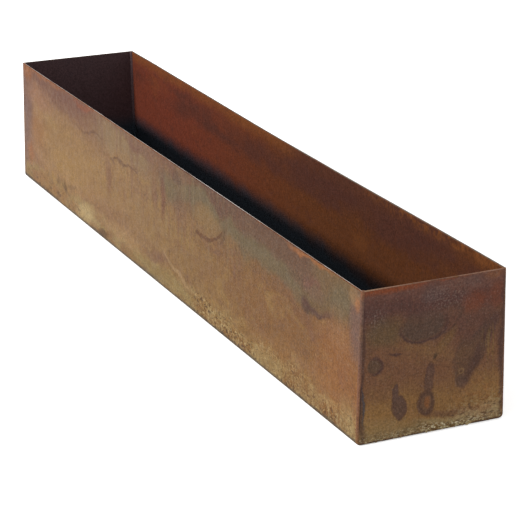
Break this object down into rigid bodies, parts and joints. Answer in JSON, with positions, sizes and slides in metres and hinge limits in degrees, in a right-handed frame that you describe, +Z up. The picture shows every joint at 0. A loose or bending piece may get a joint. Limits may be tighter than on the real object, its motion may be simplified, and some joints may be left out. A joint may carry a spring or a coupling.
{
  "type": "trough planter box",
  "caption": "Long open-topped trough planter of weathering steel, folded from thin sheet with welded end plates.",
  "frame": {"origin": "centre of the underside of the floor, which the trough rests on", "axes": "+X along the trough towards its right end as seen from the front, +Y from the front wall to the back wall, +Z up"},
  "size_m": [0.93, 0.1558, 0.15],
  "materials": {
    "patina_sheet": "matte",
    "weld_metal": "matte"
  },
  "bodies": {
    "root": {"folded_trough_sheet": "patina_sheet", "left_end_plate": "patina_sheet", "right_end_plate": "patina_sheet", "left_front_corner_weld": "weld_metal", "left_back_corner_weld": "weld_metal", "left_floor_weld": "weld_metal", "right_front_corner_weld": "weld_metal", "right_back_corner_weld": "weld_metal", "right_floor_weld": "weld_metal"}
  },
  "joints": []
}
